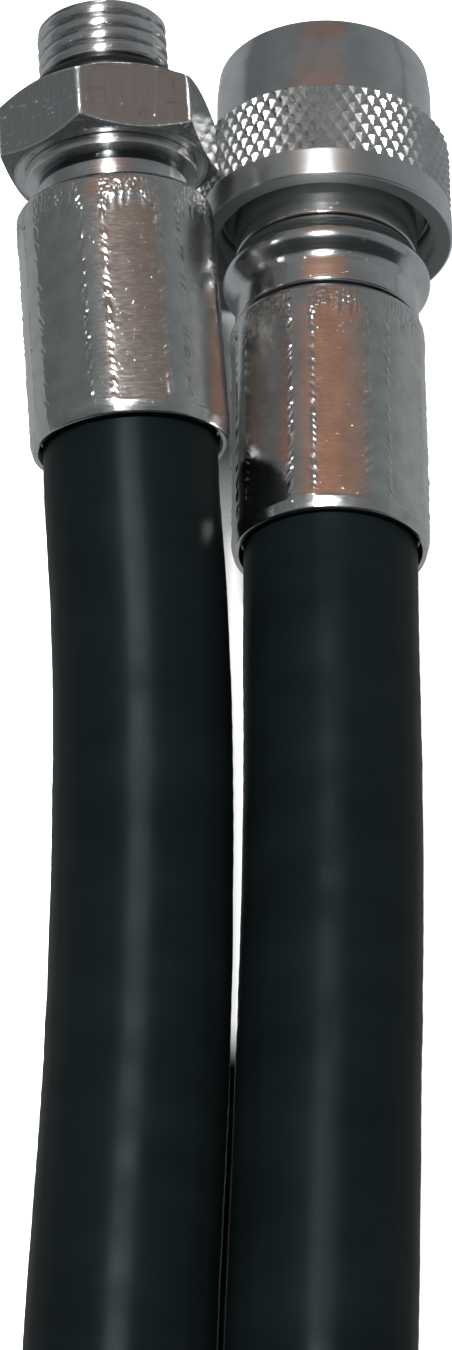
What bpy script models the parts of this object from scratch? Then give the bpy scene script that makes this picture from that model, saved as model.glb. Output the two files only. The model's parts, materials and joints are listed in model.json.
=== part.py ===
"""Low-pressure air hose with a threaded port fitting on one end and a quick coupling on the other.

Both fittings lie side by side on the ground plane and point along +Y. The port fitting leans on the
coupling's sleeve. The hose leaves both towards -Y and joins them in one loop that lies flat.

Every turned piece is drawn as rings: a ring is (station, radius) in millimetres, where the station
is the distance back from the fitting's front end along its axis. A radius can also be a function of
the angle round the axis, which makes hexagons and crimped flats. Angles start at the top of the
fitting and run towards +X.
"""
import math

import bpy
import bmesh
import numpy as np
from mathutils import Euler, Matrix, Vector

MM = 0.001

# Hose
HOSE_RADIUS = 6.2
HOSE_POINT_SPACING = 2.0 * 2 * HOSE_RADIUS

# Port fitting: 3/8"-24 UNF thread, size 903 O-ring, 9/16 inch hexagon
THREAD_RADIUS = 4.7625
THREAD_PITCH = 25.4 / 24
THREAD_DEPTH = 0.613 * THREAD_PITCH
THREAD_FIRST_CREST = 0.63
THREAD_CREST_COUNT = 4
PORT_ORING_SECTION = 1.63
PORT_ORING_STATION = 5.6
PORT_ORING_MEAN_RADIUS = 4.84
SEAL_GROOVE_START = 4.3
SEAL_GROOVE_RADIUS = 3.95
HEX_ACROSS_FLATS = 25.4 * 9 / 16
HEX_START = 6.45
HEX_END = 11.62
HEX_FRONT_LAND_RADIUS = 6.9
HEX_REAR_LAND_RADIUS = 7.1
PORT_COLLAR_RADIUS = 6.25
PORT_BAND_RADIUS = 5.55
HEX_CORNER_ANGLE = math.radians(45.8)
PORT_BORE_RADIUS = 2.25

# Crimped ferrules, the same part on both ends
FERRULE_RADIUS = 7.15
FERRULE_LENGTH = 18.6
CRIMP_DIES = 8
CRIMP_HALF_WIDTH = math.radians(16.2)
PORT_FERRULE_START = 14.9
PORT_CRIMP_ANGLE = math.radians(8.4)
COUPLING_FERRULE_START = 22.3
COUPLING_CRIMP_ANGLE = math.radians(5.2)

# Quick coupling
SLEEVE_NOSE_RADIUS = 8.1
SLEEVE_GRIP_RADIUS = 9.4
SLEEVE_LENGTH = 14.78
SLEEVE_LAND_RADIUS = 6.8
SPRING_CHAMBER_RADIUS = 7.7
SPRING_CHAMBER_START = 5.7
SOCKET_RADIUS = 4.55
BODY_FRONT_RADIUS = 6.3
BODY_REAR_RADIUS = 6.75
BODY_START = 0.4
BODY_END = 16.3
SHOULDER_START = 11.9
FLANGE_RADIUS = 7.65
SHANK_RADIUS = 6.75
TAIL_BORE_RADIUS = 2.3
BALL_COUNT = 6
BALL_RADIUS = 1.3
BALL_CIRCLE_RADIUS = 5.2
BALL_STATION = 4.8
BALL_HOLE_RADIUS = 1.45

# Where the two fittings lie: the front end's centre, and how each axis is turned
COUPLING_FRONT = (7.26, 20.466, 9.933)
COUPLING_PITCH = math.radians(2.16)
COUPLING_YAW = 0.0
PORT_FRONT = (-9.36, 18.29, 18.80)
PORT_PITCH = math.radians(9.9)
PORT_YAW = math.radians(4.29)

# Stations where the free hose starts inside each ferrule's mouth
PORT_HOSE_START = 32.4
COUPLING_HOSE_START = 39.8

# Route of the hose's centreline between the two ferrules, in millimetres
HOSE_ROUTE = [
    (-6.68, -19.2, 12.05),
    (-6.25, -25.5, 10.75),
    (-5.90, -34.3, 9.25),
    (-5.85, -47.2, 7.65),
    (-6.10, -60.0, 6.75),
    (-6.90, -78.0, 6.26),
    (-7.50, -97.5, 6.25),
    (-13.9, -122.9, 6.25),
    (-31.2, -142.3, 6.25),
    (-47.8, -160.0, 6.25),
    (-55.0, -187.0, 6.25),
    (-47.8, -214.0, 6.25),
    (-28.0, -233.8, 6.25),
    (-1.0, -241.0, 6.25),
    (26.0, -233.8, 6.25),
    (45.8, -214.0, 6.25),
    (53.0, -187.0, 6.25),
    (45.8, -160.0, 6.25),
    (29.2, -142.3, 6.25),
    (11.9, -122.9, 6.25),
    (5.50, -97.5, 6.25),
    (5.87, -78.0, 6.26),
    (6.58, -60.0, 6.32),
    (7.03, -46.7, 6.75),
    (7.20, -33.3, 7.50),
    (7.20, -26.0, 8.05),
]

MATERIALS = {
    "nickel": ((0.60, 0.59, 0.57, 1.0), 0.18, 1.0),
    "crimped_nickel": ((0.50, 0.44, 0.38, 1.0), 0.28, 1.0),
    "brass": ((0.60, 0.44, 0.20, 1.0), 0.30, 1.0),
    "spring_steel": ((0.45, 0.45, 0.46, 1.0), 0.25, 1.0),
    "hose_rubber": ((0.012, 0.014, 0.015, 1.0), 0.45, 0.0),
    "seal_rubber": ((0.010, 0.010, 0.010, 1.0), 0.40, 0.0),
    "liner_rubber": ((0.045, 0.045, 0.050, 1.0), 0.60, 0.0),
    "braid": ((0.55, 0.52, 0.45, 1.0), 0.85, 0.0),
}


def clear_scene():
    for old in list(bpy.data.objects):
        bpy.data.objects.remove(old, do_unlink=True)


def material(kind):
    found = bpy.data.materials.get(kind)
    if found:
        return found
    colour, roughness, metallic = MATERIALS[kind]
    made = bpy.data.materials.new(kind)
    made.use_nodes = True
    shader = made.node_tree.nodes["Principled BSDF"]
    shader.inputs["Base Color"].default_value = colour
    shader.inputs["Roughness"].default_value = roughness
    shader.inputs["Metallic"].default_value = metallic
    return made


def fitting_frame(name, front, pitch, yaw):
    """An empty at a fitting's front end whose local +Z points out of it, along its axis."""
    frame = bpy.data.objects.new(name, None)
    frame.location = Vector(front) * MM
    frame.rotation_euler = Euler((pitch - math.pi / 2, 0.0, yaw), "XYZ")
    bpy.context.collection.objects.link(frame)
    return frame


def even_angles(count, first=0.0):
    return [first + 2 * math.pi * i / count for i in range(count)]


def local_point(station, radius, angle):
    return Vector((radius * math.sin(angle), -radius * math.cos(angle), -station)) * MM


def add_object(name, mesh_builder, kind, parent):
    """Closes a bmesh into a named object with smooth shading and its own material."""
    bmesh.ops.recalc_face_normals(mesh_builder, faces=mesh_builder.faces)
    mesh = bpy.data.meshes.new(name)
    mesh_builder.to_mesh(mesh)
    mesh_builder.free()
    mesh.shade_smooth()
    mesh.set_sharp_from_angle(angle=math.radians(32))
    mesh.materials.append(material(kind))
    made = bpy.data.objects.new(name, mesh)
    made.parent = parent
    bpy.context.collection.objects.link(made)
    return made


def turned(name, rings, angles, kind, parent, bored=True):
    """A turned piece. Bored: the rings run round the section. Not bored: its two ends are capped."""
    builder = bmesh.new()
    loops = []
    for station, radius in rings:
        loop = []
        for angle in angles:
            size = radius(angle) if callable(radius) else radius
            loop.append(builder.verts.new(local_point(station, size, angle)))
        loops.append(loop)
    pairs = list(zip(loops, loops[1:]))
    if bored:
        pairs.append((loops[-1], loops[0]))
    else:
        builder.faces.new(loops[0])
        builder.faces.new(loops[-1])
    for near, far in pairs:
        for i in range(len(angles)):
            j = (i + 1) % len(angles)
            builder.faces.new((near[i], near[j], far[j], far[i]))
    return add_object(name, builder, kind, parent)


def round_section_ring(name, station, mean_radius, section_radius, columns, sides, kind, parent):
    """An O-ring or a wire ring, as a torus round the fitting's axis."""
    rings = []
    for i in range(sides):
        turn = 2 * math.pi * i / sides
        rings.append((station + section_radius * math.sin(turn),
                      mean_radius + section_radius * math.cos(turn)))
    return turned(name, rings, even_angles(columns), kind, parent)


def coil_spring(name, start, end, mean_radius, wire_radius, turns, steps_per_turn, parent):
    """A compression spring between two stations, with one flat closing turn at each end."""
    sides = 6
    steps = int(turns * steps_per_turn)
    closing = 1.0 / turns
    first, last = start + wire_radius, end - wire_radius
    closing_rise = 2.1 * wire_radius
    builder = bmesh.new()
    loops = []
    for i in range(steps + 1):
        share = i / steps
        if share < closing:
            station = first + closing_rise * share / closing
        elif share > 1 - closing:
            station = last - closing_rise * (1 - share) / closing
        else:
            middle = (share - closing) / (1 - 2 * closing)
            station = first + closing_rise + middle * (last - first - 2 * closing_rise)
        angle = 2 * math.pi * turns * share
        loop = []
        for k in range(sides):
            turn = 2 * math.pi * k / sides
            loop.append(builder.verts.new(local_point(station + wire_radius * math.sin(turn),
                                                      mean_radius + wire_radius * math.cos(turn),
                                                      angle)))
        loops.append(loop)
    builder.faces.new(loops[0])
    builder.faces.new(loops[-1])
    for near, far in zip(loops, loops[1:]):
        for k in range(sides):
            n = (k + 1) % sides
            builder.faces.new((near[k], near[n], far[n], far[k]))
    return add_object(name, builder, "spring_steel", parent)


def hexagon(largest_radius):
    """Radius of a hexagon whose corners are turned down to largest_radius."""
    def radius(angle):
        from_corner = (angle - HEX_CORNER_ANGLE) % math.radians(60)
        from_flat = from_corner - math.radians(30)
        return min(HEX_ACROSS_FLATS / 2 / math.cos(from_flat), largest_radius)
    return radius


def barbs(start, count, pitch, crest, root):
    """Saw-tooth rings that grip the hose's bore: each barb rises slowly and drops sharply."""
    rings = []
    for i in range(count):
        rings.append((start + i * pitch, crest))
        rings.append((start + i * pitch + 0.85 * pitch, root))
    return rings


def port_stem(frame):
    """Thread, O-ring groove, hexagon, collar and barbed tail, turned from one bar."""
    root = THREAD_RADIUS - THREAD_DEPTH
    rings = [(0.25, PORT_BORE_RADIUS), (0.0, PORT_BORE_RADIUS + 0.25), (0.0, root - 0.1)]
    for i in range(THREAD_CREST_COUNT):
        crest = THREAD_FIRST_CREST + i * THREAD_PITCH
        rings += [(crest - 0.1, THREAD_RADIUS), (crest + 0.1, THREAD_RADIUS),
                  (crest + THREAD_PITCH / 2, root)]
    seat_relief = HEX_START + 0.1
    rings += [(SEAL_GROOVE_START, SEAL_GROOVE_RADIUS), (seat_relief, SEAL_GROOVE_RADIUS),
              (seat_relief, 5.75), (HEX_START, 5.85)]
    chamfer_slope = math.tan(math.radians(30))
    corner = HEX_ACROSS_FLATS / 2 / math.cos(math.radians(30))
    front_land, rear_land = HEX_FRONT_LAND_RADIUS, HEX_REAR_LAND_RADIUS
    chamfer_steps = 3
    for i in range(chamfer_steps + 1):
        size = front_land + (corner - front_land) * i / chamfer_steps
        rings.append((HEX_START + (size - front_land) * chamfer_slope, hexagon(size)))
    for i in range(chamfer_steps + 1):
        size = corner - (corner - rear_land) * i / chamfer_steps
        rings.append((HEX_END - (size - rear_land) * chamfer_slope, hexagon(size)))
    rings += [(HEX_END + 0.02, PORT_COLLAR_RADIUS), (12.45, PORT_COLLAR_RADIUS), (12.5, 5.2),
              (13.2, 5.2), (13.25, PORT_BAND_RADIUS), (14.6, PORT_BAND_RADIUS), (14.65, 4.7),
              (16.4, 4.7), (16.5, 3.3)]
    rings += barbs(17.6, 4, 3.5, 3.55, 3.2)
    rings += [(31.9, 3.1), (31.9, PORT_BORE_RADIUS)]
    return turned("lp_stem", rings, even_angles(30, HEX_CORNER_ANGLE), "nickel", frame)


def crimp_angles(centre):
    """Angles that put a column on each pressed flat's middle and edges, and between the flats."""
    step = 2 * math.pi / CRIMP_DIES
    angles = []
    for i in range(CRIMP_DIES):
        middle = centre + i * step
        angles += [middle - CRIMP_HALF_WIDTH, middle, middle + CRIMP_HALF_WIDTH, middle + step / 2]
    return angles


def crimp(centre, extra_depth):
    """Radius of the ferrule where the dies have pressed it: flat chords with round strips between."""
    step = 2 * math.pi / CRIMP_DIES

    def radius(angle):
        offset = (angle - centre + step / 2) % step - step / 2
        if abs(offset) > CRIMP_HALF_WIDTH - 1e-4:
            return FERRULE_RADIUS
        return FERRULE_RADIUS * math.cos(CRIMP_HALF_WIDTH) / math.cos(offset) - extra_depth
    return radius


def ferrule(name, start, centre, frame):
    """The crimped shell that clamps the hose on its barbed tail."""
    pressed = crimp(centre, 0.06)
    end = start + FERRULE_LENGTH
    rings = [(start, 5.0), (start, 6.45), (start + 0.2, 6.85), (start + 0.6, 7.05),
             (start + 1.2, FERRULE_RADIUS - 0.03), (start + 2.3, pressed), (end - 1.35, pressed),
             (end - 0.95, FERRULE_RADIUS - 0.06), (end, FERRULE_RADIUS - 0.53), (end, 6.55),
             (end - 1.4, 6.5), (end - 1.5, 6.05), (start + 1.3, 6.05), (start + 1.3, 5.0)]
    return turned(name, rings, crimp_angles(centre), "crimped_nickel", frame)


def hose_end_layers(prefix, start, end, frame):
    """The hose's three layers where the ferrule clamps them: liner, textile braid and cover."""
    layers = [("liner", 3.75, 4.45, "liner_rubber"), ("braid", 4.6, 5.0, "braid"),
              ("cover", 5.15, 5.85, "hose_rubber")]
    for layer, inner, outer, kind in layers:
        rings = [(start, inner), (start, outer), (end, outer), (end, inner)]
        turned(f"{prefix}_hose_{layer}", rings, even_angles(20), kind, frame)


def sleeve(frame):
    """The sliding, knurled grip sleeve. Its inner land locks the balls; ahead of it is a recess."""
    nose, grip, length = SLEEVE_NOSE_RADIUS, SLEEVE_GRIP_RADIUS, SLEEVE_LENGTH
    rings = [(0.0, 7.6), (0.0, nose - 0.3), (0.12, nose - 0.18), (1.85, nose), (6.5, nose),
             (6.6, grip - 0.3), (6.95, grip), (length - 0.12, grip), (length, grip - 0.12),
             (length, 8.1), (length - 0.2, 7.95), (11.9, 7.95), (11.8, SPRING_CHAMBER_RADIUS),
             (SPRING_CHAMBER_START, SPRING_CHAMBER_RADIUS),
             (SPRING_CHAMBER_START, SLEEVE_LAND_RADIUS), (3.5, SLEEVE_LAND_RADIUS), (2.5, 7.45),
             (0.15, 7.45)]
    return turned("qd_sleeve", rings, even_angles(48), "nickel", frame)


def ball_angle(index):
    return math.radians(30) + index * 2 * math.pi / BALL_COUNT


def ball_hole_cutter(frame):
    builder = bmesh.new()
    for i in range(BALL_COUNT):
        centre = local_point(BALL_STATION, BALL_CIRCLE_RADIUS, ball_angle(i))
        outward = Vector((centre.x, centre.y, 0.0)).normalized()
        turn = outward.to_track_quat("Z", "Y").to_matrix().to_4x4()
        bmesh.ops.create_cone(builder, cap_ends=True, segments=16, radius1=BALL_HOLE_RADIUS * MM,
                              radius2=BALL_HOLE_RADIUS * MM, depth=4.0 * MM,
                              matrix=Matrix.Translation(centre) @ turn)
    cutter = add_object("ball_hole_cutter", builder, "nickel", frame)
    cutter.hide_render = True
    cutter.display_type = "WIRE"
    return cutter


def coupling_body(frame):
    """The socket: ball holes, snap-ring groove, seal groove, spring shoulder, counterbored rear."""
    rings = [(BODY_START, SOCKET_RADIUS + 0.3), (BODY_START, BODY_FRONT_RADIUS - 0.25),
             (BODY_START + 0.25, BODY_FRONT_RADIUS), (1.4, BODY_FRONT_RADIUS), (1.4, 5.8),
             (2.35, 5.8), (2.35, BODY_FRONT_RADIUS), (SHOULDER_START, BODY_FRONT_RADIUS),
             (SHOULDER_START, 7.45), (SHOULDER_START + 0.7, 7.45),
             (SHOULDER_START + 0.9, BODY_REAR_RADIUS), (BODY_END, BODY_REAR_RADIUS),
             (BODY_END, 5.0), (12.6, 5.0), (12.6, 3.0), (10.2, 3.0), (10.2, SOCKET_RADIUS),
             (9.2, SOCKET_RADIUS), (9.2, 5.75), (7.4, 5.75), (7.4, SOCKET_RADIUS),
             (BODY_START + 0.3, SOCKET_RADIUS)]
    body = turned("qd_body", rings, even_angles(36), "nickel", frame)
    cut = body.modifiers.new("ball_holes", "BOOLEAN")
    cut.operation = "DIFFERENCE"
    cut.solver = "EXACT"
    cut.object = ball_hole_cutter(frame)
    return body


def locking_balls(frame):
    """Each ball has its origin at its own centre, on its radial slide."""
    for i in range(BALL_COUNT):
        builder = bmesh.new()
        bmesh.ops.create_uvsphere(builder, u_segments=12, v_segments=8, radius=BALL_RADIUS * MM)
        ball = add_object(f"qd_ball_{i + 1}", builder, "spring_steel", frame)
        ball.location = local_point(BALL_STATION, BALL_CIRCLE_RADIUS, ball_angle(i))


def coupling_tail(frame):
    """Spigot, rounded flange, shank and barbed tail, turned from one bar."""
    flange = [(16.45, 4.8), (16.45, 6.6), (16.55, BODY_REAR_RADIUS), (17.25, BODY_REAR_RADIUS),
              (17.55, 7.25), (17.95, 7.58), (18.4, FLANGE_RADIUS), (18.85, 7.58), (19.2, 7.4),
              (19.45, 7.12), (19.7, 6.9), (20.1, SHANK_RADIUS)]
    shank = [(22.05, SHANK_RADIUS), (22.15, SHANK_RADIUS - 0.1), (22.15, 4.7), (23.9, 4.7),
             (24.0, 3.3)]
    rings = [(13.0, 3.1), (13.0, 4.8), (14.3, 4.8), (14.3, 3.85), (15.4, 3.85), (15.4, 4.8)]
    rings += flange + shank + barbs(25.1, 4, 3.5, 3.55, 3.2)
    rings += [(39.6, 3.1), (39.6, TAIL_BORE_RADIUS), (19.0, TAIL_BORE_RADIUS), (18.6, 3.1)]
    return turned("qd_tail", rings, even_angles(28), "nickel", frame)


def retaining_ring(frame):
    """Snap ring in the body's front groove. It keeps the sleeve on."""
    rings = [(1.5, 5.9), (1.5, 7.1), (2.2, 7.1), (2.2, 5.9)]
    turned("qd_retaining_ring", rings, even_angles(32), "spring_steel", frame)


def spring_washer(frame):
    """Thin washer that lets the spring and sleeve turn on the body's shoulder."""
    rings = [(11.35, 6.5), (11.35, 7.45), (11.65, 7.45), (11.65, 6.5)]
    turned("qd_spring_washer", rings, even_angles(32), "spring_steel", frame)


def valve(frame):
    """The check valve behind the socket: core, gasket, sprung pin and poppet seal."""
    core = [(9.9, 0.95), (9.9, 2.5), (10.1, 2.8), (11.2, 2.8), (11.3, 2.3), (12.2, 2.3),
            (12.3, 2.8), (15.1, 2.8), (15.5, 2.2), (15.5, 0.95), (14.5, 0.95), (14.5, 1.55),
            (10.2, 1.55), (10.2, 0.95)]
    turned("valve_core_body", core, even_angles(24), "brass", frame)
    gasket = [(11.45, 2.4), (11.45, 2.85), (12.05, 2.9), (12.05, 2.4)]
    turned("valve_core_gasket", gasket, even_angles(24), "seal_rubber", frame)
    pin = [(7.0, 0.45), (7.15, 0.65), (10.4, 0.65), (10.4, 1.25), (10.8, 1.25), (10.8, 0.65),
           (16.45, 0.65), (16.5, 1.9), (16.9, 1.9)]
    turned("valve_pin", pin, even_angles(20), "brass", frame, bored=False)
    seal = [(15.8, 0.8), (15.8, 2.3), (16.3, 2.5), (16.3, 0.8)]
    turned("valve_poppet_seal", seal, even_angles(24), "seal_rubber", frame)
    coil_spring("valve_spring", 11.0, 14.3, 1.1, 0.16, 6.0, 10, frame)


def seals(port, coupling):
    section = PORT_ORING_SECTION / 2
    round_section_ring("lp_port_oring", PORT_ORING_STATION, PORT_ORING_MEAN_RADIUS, section,
                       36, 10, "seal_rubber", port)
    round_section_ring("qd_socket_oring", 8.3, 5.0, 0.7, 32, 8, "seal_rubber", coupling)
    round_section_ring("qd_tail_oring", 14.85, 4.4, 0.45, 32, 6, "seal_rubber", coupling)


def axis_position(frame, station):
    """World position on a fitting's axis, in millimetres, worked out from its empty."""
    turn = frame.rotation_euler.to_matrix()
    return np.array(frame.location + turn @ Vector((0.0, 0.0, -station * MM))) / MM


def smooth_curve(points, spacing):
    """Points at even spacing on the natural cubic spline through the given points."""
    points = np.array(points, dtype=float)
    gaps = np.linalg.norm(np.diff(points, axis=0), axis=1)
    knots = np.concatenate([[0.0], np.cumsum(gaps)])
    count = len(points)
    system = np.eye(count)
    target = np.zeros_like(points)
    for i in range(1, count - 1):
        before, after = gaps[i - 1], gaps[i]
        system[i, i - 1:i + 2] = before, 2 * (before + after), after
        target[i] = 6 * ((points[i + 1] - points[i]) / after - (points[i] - points[i - 1]) / before)
    bend = np.linalg.solve(system, target)
    samples = np.linspace(0.0, knots[-1], int(round(knots[-1] / spacing)) + 1)
    curve = []
    for t in samples:
        i = min(max(int(np.searchsorted(knots, t)) - 1, 0), count - 2)
        width, left, right = gaps[i], t - knots[i], knots[i + 1] - t
        curve.append(bend[i] * right ** 3 / (6 * width) + bend[i + 1] * left ** 3 / (6 * width)
                     + (points[i] / width - bend[i] * width / 6) * right
                     + (points[i + 1] / width - bend[i + 1] * width / 6) * left)
    return curve


def hose(port, coupling):
    """The free hose, from inside one ferrule's mouth to inside the other's."""
    route = [axis_position(port, PORT_HOSE_START)] + HOSE_ROUTE
    route.append(axis_position(coupling, COUPLING_HOSE_START))
    path = smooth_curve(route, HOSE_POINT_SPACING)
    curve = bpy.data.curves.new("hose", "CURVE")
    curve.dimensions = "3D"
    curve.bevel_depth = HOSE_RADIUS * MM
    curve.bevel_resolution = 4
    curve.use_fill_caps = True
    spline = curve.splines.new("POLY")
    spline.points.add(len(path) - 1)
    for slot, point in zip(spline.points, path):
        slot.co = (*(point * MM), 1.0)
    curve.materials.append(material("hose_rubber"))
    tube = bpy.data.objects.new("hose", curve)
    bpy.context.collection.objects.link(tube)


def main():
    clear_scene()
    port = fitting_frame("port_frame", PORT_FRONT, PORT_PITCH, PORT_YAW)
    coupling = fitting_frame("coupling_frame", COUPLING_FRONT, COUPLING_PITCH, COUPLING_YAW)
    port_stem(port)
    ferrule("lp_ferrule", PORT_FERRULE_START, PORT_CRIMP_ANGLE, port)
    hose_end_layers("lp", 16.7, 32.1, port)
    sleeve(coupling)
    coupling_body(coupling)
    locking_balls(coupling)
    retaining_ring(coupling)
    spring_washer(coupling)
    coil_spring("qd_sleeve_spring", 5.9, 11.15, 7.0, 0.27, 4.0, 16, coupling)
    valve(coupling)
    coupling_tail(coupling)
    ferrule("qd_ferrule", COUPLING_FERRULE_START, COUPLING_CRIMP_ANGLE, coupling)
    hose_end_layers("qd", 24.1, 39.5, coupling)
    seals(port, coupling)
    hose(port, coupling)


main()
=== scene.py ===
"""Looks of the low-pressure hose assembly: port fitting, quick coupling and the hose between them.

Lengths in the profiles are millimetres. A station is the distance back from a fitting's front end
along its axis, and an angle starts at the top of the fitting and runs towards +X.
"""
import json
import math

import bpy
import bmesh
import numpy as np
from mathutils import Matrix, Vector

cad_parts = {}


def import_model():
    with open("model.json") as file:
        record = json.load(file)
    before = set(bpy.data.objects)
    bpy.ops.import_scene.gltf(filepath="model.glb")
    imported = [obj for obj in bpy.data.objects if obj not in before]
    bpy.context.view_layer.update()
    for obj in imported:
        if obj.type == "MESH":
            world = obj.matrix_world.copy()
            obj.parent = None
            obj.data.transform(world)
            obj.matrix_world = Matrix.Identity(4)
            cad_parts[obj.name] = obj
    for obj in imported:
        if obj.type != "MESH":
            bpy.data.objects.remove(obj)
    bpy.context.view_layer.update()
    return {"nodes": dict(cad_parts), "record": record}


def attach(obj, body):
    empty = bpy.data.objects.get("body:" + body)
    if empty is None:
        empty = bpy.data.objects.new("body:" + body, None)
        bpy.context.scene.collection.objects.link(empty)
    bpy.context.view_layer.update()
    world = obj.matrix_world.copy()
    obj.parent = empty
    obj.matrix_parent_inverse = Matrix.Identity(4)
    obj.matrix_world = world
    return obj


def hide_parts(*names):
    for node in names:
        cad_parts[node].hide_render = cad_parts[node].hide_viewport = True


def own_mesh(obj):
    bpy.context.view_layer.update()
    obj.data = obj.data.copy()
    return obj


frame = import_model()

MM = 0.001
RECORD = frame["record"]
TURN = 2 * math.pi

# Sizes of the pieces
THREAD_RADIUS = 4.7625
THREAD_PITCH = 25.4 / 24
THREAD_DEPTH = 0.613 * THREAD_PITCH
THREAD_FIRST_CREST = 0.63
HEX_ACROSS_FLATS = 25.4 * 9 / 16
HEX_START, HEX_END = 6.45, 11.62
HEX_FRONT_LAND_RADIUS, HEX_REAR_LAND_RADIUS = 6.9, 7.1
HEX_CORNER_ANGLE = math.radians(45.8)
HEX_CORNER_FLAT = 0.55
PORT_BORE_RADIUS = 2.25
BARB_COUNT = 4
BARB_PITCH = 3.5
BARB_LENGTH = 2.98
BARB_RADIUS = 3.55
BARB_ROOT_RADIUS = 3.2
FERRULE_RADIUS = 7.15
FERRULE_LENGTH = 18.6
PORT_FERRULE_START = 14.9
COUPLING_FERRULE_START = 22.3
CRIMP_DIES = 8
CRIMP_HALF_WIDTH = math.radians(16.2)
FLAT_DOME = 0.10
SLEEVE_LENGTH = 14.78
SLEEVE_NOSE_RADIUS = 8.1
SLEEVE_GRIP_RADIUS = 9.4
KNURL_START, KNURL_END = 6.72, 12.54
KNURL_DIAMONDS = 60
KNURL_DEPTH = 0.27
SOCKET_RADIUS = 4.55
BODY_FRONT_RADIUS = 6.3
BODY_REAR_RADIUS = 6.75
BALL_RADIUS = 1.3
BALL_CIRCLE_RADIUS = 5.2
BALL_STATION = 4.8
BALL_COUNT = 6
BALL_HOLE_RADIUS = 1.45
SPRING_END = 11.15
VALVE_SPRING_END = 14.3
HOSE_RADIUS = 6.2
HOSE_LUMP = 0.024
HOSE_DRIFT = 0.032
PORT_HOSE_START = 32.4
COUPLING_HOSE_START = 39.8

HOSE_ROUTE = [
    (-6.68, -19.2, 12.05),
    (-6.25, -25.5, 10.75),
    (-5.90, -34.3, 9.25),
    (-5.85, -47.2, 7.65),
    (-6.10, -60.0, 6.75),
    (-6.90, -78.0, 6.26),
    (-7.50, -97.5, 6.25),
    (-13.9, -122.9, 6.25),
    (-31.2, -142.3, 6.25),
    (-47.8, -160.0, 6.25),
    (-55.0, -187.0, 6.25),
    (-47.8, -214.0, 6.25),
    (-28.0, -233.8, 6.25),
    (-1.0, -241.0, 6.25),
    (26.0, -233.8, 6.25),
    (45.8, -214.0, 6.25),
    (53.0, -187.0, 6.25),
    (45.8, -160.0, 6.25),
    (29.2, -142.3, 6.25),
    (11.9, -122.9, 6.25),
    (5.50, -97.5, 6.25),
    (5.87, -78.0, 6.26),
    (6.58, -60.0, 6.32),
    (7.03, -46.7, 6.75),
    (7.20, -33.3, 7.50),
    (7.20, -26.0, 8.05),
]


# ---------------------------------------------------------------- frames and mesh helpers

def fitting_matrix(out_axis, point, station, radius, angle):
    """A fitting's frame: origin at its front end, +Z out of it, found from one point on it."""
    out_axis = Vector(out_axis).normalized()
    pitch = math.asin(out_axis.z)
    yaw = math.atan2(-out_axis.x, out_axis.y)
    turn = Matrix.Rotation(yaw, 4, "Z") @ Matrix.Rotation(pitch - math.pi / 2, 4, "X")
    offset = Vector((radius * math.sin(angle), -radius * math.cos(angle), -station)) * MM
    return Matrix.Translation(Vector(point) - turn @ offset) @ turn


def mount(name):
    return next(m for m in RECORD["mounts"] if m["name"] == name)


def joint(name):
    return next(j for j in RECORD["behaviour"]["joints"] if j["name"] == name)


def port_matrix():
    end = mount("port_thread_end")
    return fitting_matrix(end["axis"], end["pos_m"], 0.0, 3.2, math.radians(20))


def coupling_matrix():
    turn_joint = joint("sleeve_turn")
    out_axis = [-v for v in turn_joint["axis"]]
    return fitting_matrix(out_axis, turn_joint["pos_m"], 10.0, 0.0, 0.0)


PORT = port_matrix()
COUPLING = coupling_matrix()


def add_object(name, data, matrix):
    made = bpy.data.objects.new(name, data)
    made.matrix_world = matrix
    bpy.context.scene.collection.objects.link(made)
    return made


def boolean(piece, operation, tool):
    """Cuts the piece with the tool, removes the tool, and returns the piece's new mesh."""
    cut = piece.modifiers.new("cut", "BOOLEAN")
    cut.operation = operation
    cut.solver = "EXACT"
    cut.object = tool
    finished = bpy.data.meshes.new_from_object(
        piece.evaluated_get(bpy.context.evaluated_depsgraph_get()))
    piece.modifiers.clear()
    piece.data = finished
    bpy.data.objects.remove(tool, do_unlink=True)
    return finished


def stands_for(node):
    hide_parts(node)


def add_mesh(name, verts, faces, matrix, body, material, sharp=38):
    """Makes one closed piece from numpy vertices (in metres) and quads, facing out."""
    corners = verts[faces]
    volume = np.einsum("ij,ij->i", corners[:, 0], np.cross(corners[:, 1], corners[:, 2])).sum()
    volume += np.einsum("ij,ij->i", corners[:, 0], np.cross(corners[:, 2], corners[:, -1])).sum()
    if volume < 0:
        faces = faces[:, ::-1]
    mesh = bpy.data.meshes.new(name)
    mesh.vertices.add(len(verts))
    mesh.vertices.foreach_set("co", verts.astype(np.float32).ravel())
    count, size = faces.shape
    mesh.loops.add(count * size)
    mesh.loops.foreach_set("vertex_index", faces.astype(np.int32).ravel())
    mesh.polygons.add(count)
    mesh.polygons.foreach_set("loop_start", np.arange(0, count * size, size, dtype=np.int32))
    mesh.update(calc_edges=True)
    mesh.shade_smooth()
    mesh.set_sharp_from_angle(angle=math.radians(sharp))
    mesh.materials.append(material)
    piece = add_object(name, mesh, matrix)
    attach(piece, body)
    return piece


def ring_grid(stations, radii, angles):
    """Vertices of rings; stations and radii, in millimetres, are (rows,) or (rows, columns)."""
    angles = np.asarray(angles)[None, :]
    radii = np.asarray(radii, dtype=float)
    radii = radii[:, None] * np.ones_like(angles) if radii.ndim == 1 else radii
    stations = np.asarray(stations, dtype=float)
    stations = stations[:, None] * np.ones_like(angles) if stations.ndim == 1 else stations
    points = np.stack([radii * np.sin(angles), -radii * np.cos(angles), -stations], axis=-1)
    return points * MM


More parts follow.
